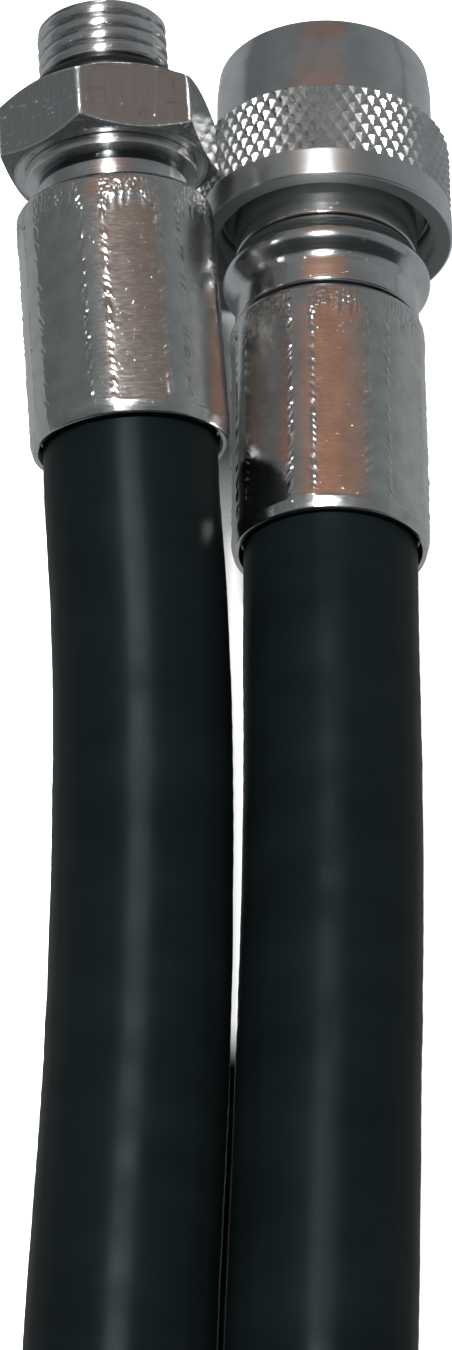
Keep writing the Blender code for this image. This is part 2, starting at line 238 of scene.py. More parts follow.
def ring_faces(rows, columns, wrap_rows):
    """Quads between neighbouring rings; wrap_rows also joins the last ring to the first."""
    last = rows if wrap_rows else rows - 1
    r = np.arange(last)[:, None]
    c = np.arange(columns)[None, :]
    nr, nc = (r + 1) % rows, (c + 1) % columns
    quads = np.stack([r * columns + c, r * columns + nc, nr * columns + nc,
                      nr * columns + c], axis=-1)
    return quads.reshape(-1, 4)


def lofted(name, stations, radii, angles, matrix, body, material, sharp=38):
    """A closed piece whose section runs right round: out along the outside, back along the bore."""
    points = ring_grid(stations, radii, angles)
    rows, columns = points.shape[:2]
    return add_mesh(name, points.reshape(-1, 3), ring_faces(rows, columns, True), matrix, body,
                    material, sharp)


def even_angles(count, first=0.0):
    return first + TURN * np.arange(count) / count


def rounded(profile, radius):
    """The closed profile with each corner cut by a small curve, as polishing leaves it."""
    count = len(profile)
    result = []
    for i in range(count):
        before, here, after = (np.array(profile[(i + k) % count], dtype=float) for k in (-1, 0, 1))
        back, ahead = before - here, after - here
        reach = min(radius, 0.4 * np.linalg.norm(back), 0.4 * np.linalg.norm(ahead))
        start = here + back / np.linalg.norm(back) * reach
        end = here + ahead / np.linalg.norm(ahead) * reach
        for t in np.linspace(0.0, 1.0, 4):
            result.append((1 - t) ** 2 * start + 2 * t * (1 - t) * here + t * t * end)
    return np.array(result)


def turned(name, profile, columns, matrix, body, material, corner):
    outline = rounded(profile, corner)
    return lofted(name, outline[:, 0], outline[:, 1], even_angles(columns), matrix, body, material)


def barbs(first):
    """Profile points of the hose barbs, whose first crest is at the given station."""
    points = []
    for i in range(BARB_COUNT):
        crest = first + BARB_PITCH * i
        points += [(crest, BARB_RADIUS), (crest + BARB_LENGTH, BARB_ROOT_RADIUS)]
    return points


def smoothstep(low, high, value):
    t = np.clip((value - low) / (high - low), 0.0, 1.0)
    return t * t * (3 - 2 * t)


def value_noise(x, y, seed, period_x=None):
    """Smooth noise between -1 and 1 from a fixed table; x can repeat after period_x cells."""
    table = np.random.default_rng(seed).uniform(-1.0, 1.0, (256, 256))
    xi, yi = np.floor(x).astype(int), np.floor(y).astype(int)
    fx, fy = x - xi, y - yi
    fx, fy = fx * fx * (3 - 2 * fx), fy * fy * (3 - 2 * fy)
    wrap = period_x or 256

    def corner(dx, dy):
        return table[((xi + dx) % wrap) % 256, (yi + dy) % 256]
    low = corner(0, 0) * (1 - fx) + corner(1, 0) * fx
    high = corner(0, 1) * (1 - fx) + corner(1, 1) * fx
    return low * (1 - fy) + high * fy


# ---------------------------------------------------------------- materials

class Nodes:
    """A short way to write node trees."""

    def __init__(self, tree):
        self.tree = tree

    def node(self, kind, inputs=None, **settings):
        made = self.tree.nodes.new(kind)
        for key, value in settings.items():
            setattr(made, key, value)
        for key, value in (inputs or {}).items():
            if isinstance(value, bpy.types.NodeSocket):
                self.tree.links.new(value, made.inputs[key])
            else:
                made.inputs[key].default_value = value
        return made

    def math(self, operation, first, second=0.0):
        return self.node("ShaderNodeMath", {0: first, 1: second}, operation=operation).outputs[0]

    def noise(self, vector, scale, detail=3.0, roughness=0.55):
        return self.node("ShaderNodeTexNoise", {"Vector": vector, "Scale": scale, "Detail": detail,
                         "Roughness": roughness}).outputs["Fac"]

    def spread(self, value, low, high, to_low=0.0, to_high=1.0, kind="LINEAR"):
        """Maps low..high to to_low..to_high, held at both ends."""
        return self.node("ShaderNodeMapRange", {"Value": value, "From Min": low, "From Max": high,
                         "To Min": to_low, "To Max": to_high},
                         interpolation_type=kind).outputs["Result"]

    def vary(self, noise, low, high):
        """Low to high over the range that a noise mostly keeps to."""
        return self.spread(noise, 0.3, 0.7, low, high)

    def blotches(self, noise, first, second):
        """Two colours in soft patches."""
        return self.mix_colour(self.spread(noise, 0.35, 0.65), first, second)

    def bell(self, value, centre, inner, outer):
        """1 within inner of the centre, falling smoothly to 0 at outer."""
        away = self.math("ABSOLUTE", self.math("SUBTRACT", value, centre))
        return self.spread(away, inner, outer, 1.0, 0.0, "SMOOTHSTEP")

    def mix_colour(self, factor, first, second):
        first, second = (c if isinstance(c, bpy.types.NodeSocket) else (*c, 1.0)
                         for c in (first, second))
        made = self.node("ShaderNodeMix", {0: factor, 6: first, 7: second}, data_type="RGBA")
        return made.outputs[2]


class Shader(Nodes):
    """A material on a Principled surface."""

    def __init__(self, name):
        self.material = bpy.data.materials.new(name)
        self.material.use_nodes = True
        super().__init__(self.material.node_tree)
        self.principled = self.tree.nodes["Principled BSDF"]

    def set(self, socket, value):
        if isinstance(value, bpy.types.NodeSocket):
            self.tree.links.new(value, self.principled.inputs[socket])
        else:
            self.principled.inputs[socket].default_value = value

    def object_mm(self, scale=(1.0, 1.0, 1.0)):
        """The piece's own coordinates in millimetres, times scale."""
        place = self.node("ShaderNodeTexCoord").outputs["Object"]
        return self.node("ShaderNodeMapping", {"Vector": place,
                         "Scale": tuple(1000 * s for s in scale)}).outputs["Vector"]

    def station_and_radius(self):
        """Distance back from the fitting's front and distance from its axis, in millimetres."""
        place = self.object_mm()
        parts = self.node("ShaderNodeSeparateXYZ", {0: place}).outputs
        flat = self.node("ShaderNodeVectorMath", {0: place, 1: (1.0, 1.0, 0.0)},
                         operation="MULTIPLY").outputs[0]
        radius = self.node("ShaderNodeVectorMath", {0: flat}, operation="LENGTH")
        return self.math("MULTIPLY", parts["Z"], -1.0), radius.outputs["Value"]

    def turning_marks(self, amount):
        """Stretches highlights along the axis, as the fine rings of a lathe do."""
        self.set("Anisotropic", amount)
        self.set("Anisotropic Rotation", 0.25)
        around = self.node("ShaderNodeTangent", direction_type="RADIAL", axis="Z")
        self.set("Tangent", around.outputs["Tangent"])

    def bump(self, height, distance_mm, strength=1.0, under=None):
        inputs = {"Height": height, "Distance": distance_mm * MM, "Strength": strength}
        if under is not None:
            inputs["Normal"] = under
        return self.node("ShaderNodeBump", inputs).outputs["Normal"]


def plated_metal(name, roughness, anisotropic, painted_groove_shade=None):
    """Bright plating over turned brass: fine rings of tool marks, faint stains, tiny dents, and
    painted groove shade.
    """
    s = Shader(name)
    place = s.object_mm()
    stain = s.noise(place, 0.45, 4.0)
    plating = s.blotches(stain, (0.62, 0.63, 0.63), (0.53, 0.54, 0.54))
    # Painted shade: a groove's floor, from the first to the last station and below the given
    # radius, is painted near-black.
    if painted_groove_shade:
        first, last, below = painted_groove_shade
        station, radius = s.station_and_radius()
        groove_painted_shade = s.bell(station, (first + last) / 2, (last - first) / 2, (last - first) / 2 + 0.05)
        groove_painted_shade = s.math("MULTIPLY", groove_painted_shade, s.spread(radius, below - 0.15, below, 1.0, 0.0))
        plating = s.mix_colour(groove_painted_shade, plating, (0.07, 0.075, 0.075))
    s.set("Base Color", plating)
    s.set("Metallic", 1.0)
    rings = s.noise(s.object_mm((0.02, 0.02, 9.0)), 1.0, 3.0, 0.7)
    s.set("Roughness", s.vary(rings, *roughness))
    nicks = s.noise(place, 3.2, 6.0, 0.7)
    lines = s.bump(rings, 0.005)
    s.set("Normal", s.bump(s.spread(nicks, 0.64, 0.70), 0.008, 0.7, lines))
    s.turning_marks(anisotropic)
    return s.material


def sleeve_metal():
    """The sleeve: polished nose, turned rear band, a rougher finish inside its open rear, and
    painted shade at the rear mouth.
    """
    s = Shader("sleeve_plating")
    station, radius = s.station_and_radius()
    inside = s.math("MULTIPLY", s.spread(radius, 9.18, 9.3, 1.0, 0.0),
                    s.spread(station, 7.0, 7.2))
    inside = s.math("MULTIPLY", inside, s.math("MAXIMUM", s.spread(radius, 8.2, 8.3, 1.0, 0.0),
                                               s.spread(station, 14.0, 14.2)))
    stain = s.noise(s.object_mm(), 0.5, 4.0)
    plating = s.blotches(stain, (0.60, 0.61, 0.61), (0.52, 0.53, 0.53))
    # Painted shade: the rear face and the bore just inside the rear mouth are painted dark; deeper
    # inside, the colour stays light.
    rim = s.spread(station, 13.9, 14.5)
    inner_colour_painted_shade = s.mix_colour(rim, (0.62, 0.64, 0.64), (0.26, 0.28, 0.28))
    s.set("Base Color", s.mix_colour(inside, plating, inner_colour_painted_shade))
    s.set("Metallic", 1.0)
    rings = s.noise(s.object_mm((0.02, 0.02, 9.0)), 1.0, 3.0, 0.7)
    band = s.spread(station, KNURL_END - 0.1, KNURL_END + 0.1)
    grip = s.spread(station, KNURL_START - 0.1, KNURL_START + 0.1, 0.0, 0.12)
    polish = s.math("ADD", s.vary(rings, 0.12, 0.16), grip)
    dull = s.math("MULTIPLY", inside, 0.35)
    s.set("Roughness", s.math("ADD", dull, s.math("ADD", polish, s.math("MULTIPLY", band, 0.05))))
    s.set("Normal", s.bump(rings, 0.003))
    s.turning_marks(s.math("MULTIPLY", band, 0.8))
    return s.material


def crimped_metal():
    """The ferrules: the same plating, dulled and scored by the crimping dies."""
    s = Shader("ferrule_plating")
    place = s.object_mm()
    stain = s.noise(place, 0.6, 5.0)
    s.set("Base Color", s.blotches(stain, (0.60, 0.60, 0.59), (0.51, 0.50, 0.49)))
    s.set("Metallic", 1.0)
    grain = s.noise(s.object_mm((1.0, 1.0, 4.0)), 1.6, 5.0, 0.65)
    s.set("Roughness", s.vary(grain, 0.12, 0.20))
    fine = s.bump(grain, 0.010)
    pits = s.noise(place, 5.0, 3.0, 0.6)
    s.set("Normal", s.bump(s.spread(pits, 0.68, 0.76), 0.012, 0.8, fine))
    return s.material


def milled_flat_metal():
    """The hexagon: drawn bar with fine lines along it, worn edges, and a rough rear chamfer
    darkened with painted shade.
    """
    s = Shader("hexagon_plating")
    station, radius = s.station_and_radius()
    per_mm = 1 / math.tan(math.radians(30))
    front = s.math("SUBTRACT", radius, s.math("ADD", s.math("MULTIPLY", station, per_mm),
                   HEX_FRONT_LAND_RADIUS - HEX_START * per_mm))
    rear = s.math("ADD", radius, s.math("SUBTRACT", s.math("MULTIPLY", station, per_mm),
                  HEX_REAR_LAND_RADIUS + HEX_END * per_mm))
    corner = HEX_ACROSS_FLATS / 2 / math.cos(math.radians(30))
    edges = s.math("MAXIMUM", s.bell(front, 0.0, 0.06, 0.22), s.bell(rear, 0.0, 0.06, 0.30))
    edges = s.math("MAXIMUM", edges, s.spread(radius, corner - 0.12, corner - 0.06))
    # Painted shade: the rear chamfer is painted near-black for the shaded floor and hose it
    # mirrors, and it is made a little rougher.
    chamfer = s.bell(rear, 0.0, 0.03, 0.06)
    along = s.noise(s.object_mm((6.0, 6.0, 0.25)), 1.0, 3.0, 0.6)
    plating = s.mix_colour(s.vary(along, 0.0, 1.0), (0.57, 0.57, 0.56), (0.49, 0.49, 0.49))
    s.set("Base Color", s.mix_colour(chamfer, plating, (0.16, 0.17, 0.17)))
    s.set("Metallic", 1.0)
    s.set("Roughness", s.math("ADD", s.vary(along, 0.15, 0.23),
                              s.math("MULTIPLY", chamfer, 0.1)))
    lines = s.bump(along, 0.003)
    slanted = s.node("ShaderNodeMapping", {"Vector": s.object_mm(), "Rotation": (0.0, 0.7, 0.0),
                     "Scale": (0.35, 0.35, 3.2)}).outputs["Vector"]
    scratches = s.spread(s.noise(slanted, 1.1, 2.0, 0.5), 0.66, 0.72)
    dots = s.spread(s.noise(s.object_mm(), 1.9, 2.0, 0.5), 0.67, 0.73)
    marks = s.bump(dots, 0.12, 1.0, s.bump(scratches, 0.12, 1.0, lines))
    wear = s.math("MULTIPLY", edges, s.noise(s.object_mm(), 5.0, 3.0, 0.7))
    s.set("Normal", s.bump(wear, 0.12, 1.0, marks))
    return s.material


def hose_rubber():
    """Black cover rubber: satin, with faint clouds and a fine grain."""
    s = Shader("hose_cover_rubber")
    place = s.node("ShaderNodeUVMap", uv_map="around_and_along").outputs["UV"]
    grain_place = s.node("ShaderNodeMapping", {"Vector": place,
                         "Scale": (18.0, 1.0, 1.0)}).outputs["Vector"]
    grain = s.noise(grain_place, 2.2, 5.0, 0.7)
    cloud = s.noise(grain_place, 0.18, 3.0)
    s.set("Base Color", s.blotches(cloud, (0.0026, 0.0042, 0.0044), (0.0036, 0.0056, 0.0058)))
    s.set("Roughness", s.vary(cloud, 0.33, 0.40))
    s.set("Specular IOR Level", 0.045)
    s.set("Specular Tint", (0.78, 0.98, 1.0, 1.0))
    s.set("Normal", s.bump(grain, 0.010, 0.6))
    return s.material


def seal_rubber():
    s = Shader("seal_rubber_black")
    grain = s.noise(s.object_mm(), 4.0, 4.0)
    s.set("Base Color", (0.003, 0.003, 0.003, 1.0))
    s.set("Roughness", s.vary(grain, 0.32, 0.45))
    s.set("Specular IOR Level", 0.25)
    s.set("Normal", s.bump(grain, 0.006))
    return s.material


def liner_rubber():
    s = Shader("liner_rubber_grey")
    grain = s.noise(s.object_mm(), 3.0, 4.0)
    s.set("Base Color", s.mix_colour(grain, (0.035, 0.035, 0.038), (0.055, 0.055, 0.060)))
    s.set("Roughness", 0.6)
    s.set("Normal", s.bump(grain, 0.01))
    return s.material


def textile_braid():
    s = Shader("textile_braid")
    strands = s.node("ShaderNodeTexWave", {"Vector": s.object_mm(), "Scale": 1.4,
                     "Distortion": 3.0, "Detail": 2.0}, wave_type="BANDS",
                     bands_direction="DIAGONAL").outputs["Fac"]
    s.set("Base Color", s.mix_colour(strands, (0.42, 0.39, 0.33), (0.62, 0.58, 0.50)))
    s.set("Roughness", 0.85)
    s.set("Normal", s.bump(strands, 0.08))
    return s.material


def spring_steel():
    s = Shader("spring_steel_bright")
    drawn = s.noise(s.object_mm(), 6.0, 4.0)
    s.set("Base Color", s.mix_colour(drawn, (0.50, 0.50, 0.51), (0.62, 0.62, 0.62)))
    s.set("Metallic", 1.0)
    s.set("Roughness", s.vary(drawn, 0.16, 0.28))
    s.set("Normal", s.bump(drawn, 0.003))
    return s.material


def turned_brass():
    s = Shader("turned_brass")
    rings = s.noise(s.object_mm((0.05, 0.05, 8.0)), 1.0, 3.0)
    s.set("Base Color", s.mix_colour(rings, (0.62, 0.43, 0.17), (0.72, 0.53, 0.25)))
    s.set("Metallic", 1.0)
    s.set("Roughness", s.vary(rings, 0.22, 0.34))
    s.set("Normal", s.bump(rings, 0.006))
    return s.material


# ---------------------------------------------------------------- port fitting

def thread_radius(station, angle):
    """A right-hand thread with worn, rounded crests, faded at its tip and at its run-out."""
    turns = (station - THREAD_FIRST_CREST) / THREAD_PITCH + angle / TURN
    from_crest = np.abs((turns + 0.5) % 1.0 - 0.5)
    shoulder = 0.13 * np.clip((from_crest - 0.05) / 0.28, 0.0, 1.0) ** 1.6
    groove = shoulder + 0.62 * smoothstep(0.34, 0.47, from_crest)
    depth = THREAD_DEPTH * smoothstep(0.0, 0.35, station) * (1 - smoothstep(3.95, 4.3, station))
    tip_chamfer = np.minimum(THREAD_RADIUS, 4.5 + station * 0.9)
    return np.minimum(THREAD_RADIUS - depth * groove, tip_chamfer)


def port_stem(materials):
    columns = 256
    angles = even_angles(columns)
    rows = np.arange(0.0, 4.24, 0.045)
    thread = thread_radius(rows[:, None], angles[None, :])
    groove_floor = 3.95
    rear = [(4.3, 4.7), (4.35, groove_floor), (HEX_END - 0.2, groove_floor), (HEX_END, 6.15),
            (HEX_END + 0.08, 6.25), (12.45, 6.25), (12.52, 5.2), (13.2, 5.2), (13.27, 5.55),
            (14.6, 5.55), (14.7, 4.7), (16.4, 4.7), (16.5, 3.3)]
    rear += barbs(17.6)
    rear += [(31.9, 3.1), (31.9, PORT_BORE_RADIUS), (0.25, PORT_BORE_RADIUS),
             (0.0, PORT_BORE_RADIUS + 0.25)]
    outline = rounded(rear, 0.09)
    stations = np.concatenate([rows, outline[:, 0]])
    radii = np.concatenate([thread, outline[:, 1][:, None] * np.ones((1, columns))])
    stem = lofted("lp_stem_turned", stations, radii, angles, PORT, "root", materials["stem"])
    stands_for("lp_stem")


def hexagon(materials):
    """A six-sided bar with its corners turned down to cones at both ends."""
    apothem = HEX_ACROSS_FLATS / 2
    corner = apothem / math.cos(math.radians(30))
    slope = math.tan(math.radians(30))
    front, rear = HEX_FRONT_LAND_RADIUS, HEX_REAR_LAND_RADIUS
    builder = bmesh.new()
    loops = []
    for station in (HEX_START - 1.0, HEX_END + 1.0):
        loop = []
        for i in range(6):
            angle = HEX_CORNER_ANGLE + i * TURN / 6
            for side in (-1, 1):
                turn = angle + side * math.radians(HEX_CORNER_FLAT)
                size = apothem / math.cos(math.radians(30 - HEX_CORNER_FLAT))
                loop.append(builder.verts.new((size * math.sin(turn) * MM,
                                               -size * math.cos(turn) * MM, -station * MM)))
        loops.append(loop)
    builder.faces.new(loops[0])
    builder.faces.new(loops[1])
    for i in range(12):
        j = (i + 1) % 12
        builder.faces.new((loops[0][i], loops[0][j], loops[1][j], loops[1][i]))
    bmesh.ops.recalc_face_normals(builder, faces=builder.faces)
    mesh = bpy.data.meshes.new("lp_hexagon")
    builder.to_mesh(mesh)
    builder.free()
    bar = add_object("lp_hexagon", mesh, PORT)
    beyond = corner + 0.3
    front_reach = (beyond - front) * slope
    rear_reach = (beyond - rear) * slope
    limit = [(HEX_START, 4.2), (HEX_START, front), (HEX_START + front_reach, beyond),
             (HEX_END - rear_reach, beyond), (HEX_END, rear), (HEX_END, 4.2)]
    cones = lofted("hexagon_limit", [p[0] for p in limit], [p[1] for p in limit],
                   even_angles(256), PORT, "root", materials["hexagon"])
    finished = boolean(bar, "INTERSECT", cones)
    finished.shade_smooth()
    finished.set_sharp_from_angle(angle=math.radians(15))
    finished.materials.clear()
    finished.materials.append(materials["hexagon"])
    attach(bar, "root")


def ring_seal(name, node, station, mean_radius, section_radius, matrix, material):
    turns = np.linspace(0.0, TURN, 28, endpoint=False)
    ring = lofted(name, station + section_radius * np.sin(turns),
                  mean_radius + section_radius * np.cos(turns), even_angles(160), matrix, "root",
                  material, 60)
    stands_for(node)


# ---------------------------------------------------------------- crimped ferrules

def crimp_surface(depth_in, angle, centre, seed):
    """Radius of the crimped shell: slightly domed flats with nicked edges and a scuffed die end."""
    step = TURN / CRIMP_DIES
    offset = (angle - centre + step / 2) % step - step / 2
    side = np.sign(offset)
    die = np.floor((angle - centre + step / 2) / step)
    share = np.clip(np.abs(offset) / CRIMP_HALF_WIDTH, 0.0, 2.0)
    inside = share < 1.0
    chord = FERRULE_RADIUS * np.cos(CRIMP_HALF_WIDTH) / np.cos(offset * inside)
    sink = np.maximum(FERRULE_RADIUS - chord - FLAT_DOME * (1 - share ** 2), 0.0) * inside
    front = FERRULE_RADIUS - 0.07 * (1 - smoothstep(0.6, 2.2, depth_in))
    jitter = value_noise(angle * 26.0, 0.0, seed + 6, 163)
    arch = 1.2 + 1.2 * share ** 3 + 0.2 * jitter
    radius = front - sink * smoothstep(arch - 0.6, arch + 1.9, depth_in)

    # Nicks along the two edges of each die
    until_rim = 1 - smoothstep(FERRULE_LENGTH - 1.6, FERRULE_LENGTH - 1.2, depth_in)
    strokes = value_noise(depth_in / 0.25 + side * offset * 28.0, die * 7.3 + side * 3.1, seed)
    groups = value_noise(depth_in / 1.5, die * 5.1 + side * 2.7 + 40.0, seed + 1)
    ridge = np.exp(-((share - 0.98) / 0.085) ** 2) * smoothstep(1.2, 2.0, depth_in) * until_rim
    radius += ridge * 0.08 * strokes * (1 + 0.5 * groups)

    # Scuffing where the die begins
    scuff = smoothstep(0.35, 0.8, depth_in) * (1 - smoothstep(arch + 0.5, arch + 1.3, depth_in))
    scuff *= 1 - smoothstep(1.02, 1.2, share)
    radial = value_noise(angle * 90.0, depth_in / 0.40, seed + 2, 565)
    speck = value_noise(angle * 55.0, depth_in / 0.15, seed + 3, 346)
    radius += scuff * (0.026 * radial + 0.026 * speck)

    # Faint wiping and swelling all over
    wiped = value_noise(angle * 7.0 + depth_in * 0.6, depth_in / 0.24, seed + 4, 44)
    swell = value_noise(angle * 5.0, depth_in / 2.2, seed + 5, 31)
    radius += np.where(inside, 0.0024, 0.0010) * wiped + 0.005 * swell
    return radius


def ferrule(name, node, start, centre, seed, matrix, material):
    """The shell from its rounded front corner to its bevelled mouth, and back along its inside."""
    columns = 720
    angles = even_angles(columns)
    rows = np.arange(0.62, FERRULE_LENGTH - 0.98, 0.06)
    outside = crimp_surface(rows[:, None], angles[None, :], centre, seed)
    even = np.ones((1, columns))
    front = np.array([(0.0, 5.0), (0.0, 6.38), (0.03, 6.52), (0.14, 6.77), (0.3, 6.92),
                      (0.46, 7.01)])
    reach = np.array([0.0, 0.06, 0.16, 0.50, 0.86, 0.96, 1.0, 1.0])
    drop = np.array([0.0, 0.004, 0.018, 0.095, 0.180, 0.208, 0.25, 0.34])
    rim_stations = FERRULE_LENGTH - 0.90 + 0.90 * reach
    rim = outside[-1][None, :] * 0.35 + (FERRULE_RADIUS - 0.05) * 0.65 - drop[:, None]
    inner = np.array([(FERRULE_LENGTH - 0.03, 6.54), (FERRULE_LENGTH - 1.4, 6.48),
                      (FERRULE_LENGTH - 1.6, 6.05), (1.4, 6.05), (1.3, 5.0)])
    stations = np.concatenate([front[:, 0], rows, rim_stations, inner[:, 0]]) + start
    radii = np.concatenate([front[:, 1:] * even, outside, rim, inner[:, 1:] * even])
    shell = lofted(name, stations, radii, angles, matrix, "root", material, 45)
    stands_for(node)


# ---------------------------------------------------------------- quick coupling

def knurl(station, angle):
    """Height of the diamond knurl between 0 and 1: two crossed sets of V grooves."""
    circle = TURN * SLEEVE_GRIP_RADIUS / KNURL_DIAMONDS
    lead = circle / math.tan(math.radians(30))
    turns = KNURL_DIAMONDS * angle / TURN
    climb = (station - KNURL_START) / lead
    right, left = (np.abs((turns + side * climb) % 1.0 - 0.5) * 2 for side in (-1, 1))
    return np.minimum(np.minimum(right, left), 0.88) / 0.88


def sleeve(materials):
    """The sliding sleeve: plain nose with a shallow taper, diamond knurl, rear band, open rear."""
    columns = 12 * KNURL_DIAMONDS
    angles = even_angles(columns)
    rows = np.arange(KNURL_START, KNURL_END + 0.001, 0.0775)
    grid_s, grid_a = rows[:, None], angles[None, :]
    grip = SLEEVE_GRIP_RADIUS - KNURL_DEPTH * (1 - knurl(grid_s, grid_a))
    grip = np.minimum(grip, SLEEVE_GRIP_RADIUS - 0.3 + (grid_s - KNURL_START) * 1.1)
    fade = smoothstep(KNURL_END - 0.05, KNURL_END, grid_s)
    grip = grip * (1 - fade) + (SLEEVE_GRIP_RADIUS - 0.02) * fade
    nose, rear = SLEEVE_NOSE_RADIUS, SLEEVE_LENGTH
    before = rounded([(2.5, 7.45), (0.5, 7.45), (0.0, 7.6), (0.0, nose - 0.3), (0.12, nose - 0.18),
                      (1.85, nose), (KNURL_START - 0.06, nose)], 0.3)[4:]
    after = rounded([(KNURL_END + 0.06, SLEEVE_GRIP_RADIUS), (rear - 0.10, SLEEVE_GRIP_RADIUS),
                     (rear, SLEEVE_GRIP_RADIUS - 0.12), (rear, 8.15), (rear - 0.2, 7.95),
                     (11.9, 7.95), (11.8, 7.7), (5.7, 7.7), (5.7, 6.8), (3.5, 6.8), (2.5, 7.45)],
                    0.07)[:-4]
    even = np.ones((1, columns))
    stations = np.concatenate([before[:, 0], rows, after[:, 0]])
    radii = np.concatenate([before[:, 1:] * even, grip, after[:, 1:] * even])
    piece = lofted("qd_sleeve_knurled", stations, radii, angles, COUPLING, "sleeve",
                   materials["sleeve"], 30)
    stands_for("qd_sleeve")


def coupling_body(materials):
    """The socket and rear skirt, drilled for the locking balls."""
    profile = [(0.4, SOCKET_RADIUS + 0.3), (0.4, BODY_FRONT_RADIUS - 0.25),
               (0.65, BODY_FRONT_RADIUS), (1.4, BODY_FRONT_RADIUS), (1.4, 5.8), (2.35, 5.8),
               (2.35, BODY_FRONT_RADIUS), (11.9, BODY_FRONT_RADIUS), (11.9, 7.45), (12.6, 7.45),
               (12.8, BODY_REAR_RADIUS), (16.32, BODY_REAR_RADIUS), (16.32, 5.0), (12.6, 5.0),
               (12.6, 3.0), (10.2, 3.0), (10.2, SOCKET_RADIUS), (9.2, SOCKET_RADIUS),
               (9.2, 5.75), (7.4, 5.75), (7.4, SOCKET_RADIUS), (0.7, SOCKET_RADIUS)]
    body = turned("qd_body_turned", profile, 160, COUPLING, "root", materials["plated"], 0.1)
    builder = bmesh.new()
    for i in range(BALL_COUNT):
        centre, outward = ball_place(i)
        turn = outward.to_track_quat("Z", "Y").to_matrix().to_4x4()
        bmesh.ops.create_cone(builder, cap_ends=True, segments=40, radius1=BALL_HOLE_RADIUS * MM,
                              radius2=BALL_HOLE_RADIUS * MM, depth=4.0 * MM,
                              matrix=Matrix.Translation(centre) @ turn)
    drill_mesh = bpy.data.meshes.new("ball_hole_drill")
    builder.to_mesh(drill_mesh)
    builder.free()
    drilled = boolean(body, "DIFFERENCE", add_object("ball_hole_drill", drill_mesh, COUPLING))
    drilled.set_sharp_from_angle(angle=math.radians(38))
    stands_for("qd_body")


def ball_place(index):
    """A ball's centre and outward direction in the coupling's frame."""
    angle = math.radians(30) + index * TURN / BALL_COUNT
    outward = Vector((math.sin(angle), -math.cos(angle), 0.0))
    return outward * BALL_CIRCLE_RADIUS * MM + Vector((0.0, 0.0, -BALL_STATION * MM)), outward


def locking_balls(materials):
    for i in range(BALL_COUNT):
        centre, _ = ball_place(i)
        builder = bmesh.new()
        bmesh.ops.create_icosphere(builder, subdivisions=4, radius=BALL_RADIUS * MM)
        mesh = bpy.data.meshes.new(f"locking_ball_{i + 1}")
        builder.to_mesh(mesh)
        builder.free()
        mesh.shade_smooth()
        mesh.materials.append(materials["spring"])
        ball = add_object(f"locking_ball_{i + 1}", mesh, COUPLING @ Matrix.Translation(centre))
        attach(ball, f"ball_{i + 1}")
        stands_for(f"qd_ball_{i + 1}")


def arc(centre_station, centre_radius, size, from_degrees, to_degrees, count):
    """Profile points on an arc; 0 degrees points forward, 90 outward."""
    turns = np.radians(np.linspace(from_degrees, to_degrees, count))
    return [(centre_station - size * math.cos(t), centre_radius + size * math.sin(t))
            for t in turns]


def coupling_tail(materials):
    """Spigot, band, rounded flange, shank with its fine bright lines, and barbs inside the hose."""
    profile = [(13.0, 3.1), (13.0, 4.8), (14.3, 4.8), (14.3, 3.85), (15.4, 3.85), (15.4, 4.8),
               (16.45, 4.8), (16.45, 6.6), (16.55, BODY_REAR_RADIUS), (16.75, BODY_REAR_RADIUS),
               (17.05, BODY_REAR_RADIUS + 0.05), (17.3, BODY_REAR_RADIUS + 0.19)]
    profile += arc(18.4, 6.6, 1.05, 36, 128, 12)
    profile += arc(20.35, 8.2, 1.45, 300, 271, 8)
    profile += [(21.98, 6.75), (22.08, 6.6), (22.12, 4.7), (23.9, 4.7), (24.0, 3.3)]
    profile += barbs(25.1)
    profile += [(39.6, 3.1), (39.6, 2.3), (19.0, 2.3), (18.6, 3.1)]
    tail = turned("qd_tail_turned", profile, 256, COUPLING, "root", materials["plated"], 0.07)
    stands_for("qd_tail")


def small_turned_pieces(materials):
    ring = turned("retaining_ring", [(1.5, 5.9), (1.5, 7.1), (2.2, 7.1), (2.2, 5.9)], 120,
                  COUPLING, "root", materials["spring"], 0.1)
    stands_for("qd_retaining_ring")
    washer = turned("spring_washer", [(11.35, 6.5), (11.35, 7.45), (11.65, 7.45), (11.65, 6.5)],
                    120, COUPLING, "sleeve_carrier", materials["spring"], 0.08)
    stands_for("qd_spring_washer")
    core = turned("valve_core_shell",
                  [(9.9, 0.95), (9.9, 2.5), (10.1, 2.8), (11.2, 2.8), (11.3, 2.3), (12.2, 2.3),
                   (12.3, 2.8), (15.1, 2.8), (15.5, 2.2), (15.5, 0.95), (14.5, 0.95),
                   (14.5, 1.55), (10.2, 1.55), (10.2, 0.95)],
                  96, COUPLING, "root", materials["brass"], 0.06)
    stands_for("valve_core_body")


def valve_pin(materials):
    """The sprung pin; its axis is closed by tiny end rings that make its rounded tip."""
    profile = [(16.9, 0.02), (16.9, 1.9), (16.5, 1.9), (16.45, 0.65), (10.8, 0.65),
               (10.8, 1.25), (10.4, 1.25), (10.4, 0.65), (7.2, 0.65)]
    profile += arc(7.55, 0.02, 0.55, 70, 5, 6)
    pin = turned("valve_pin_turned", profile, 64, COUPLING, "valve_pin", materials["brass"], 0.05)
    stands_for("valve_pin")


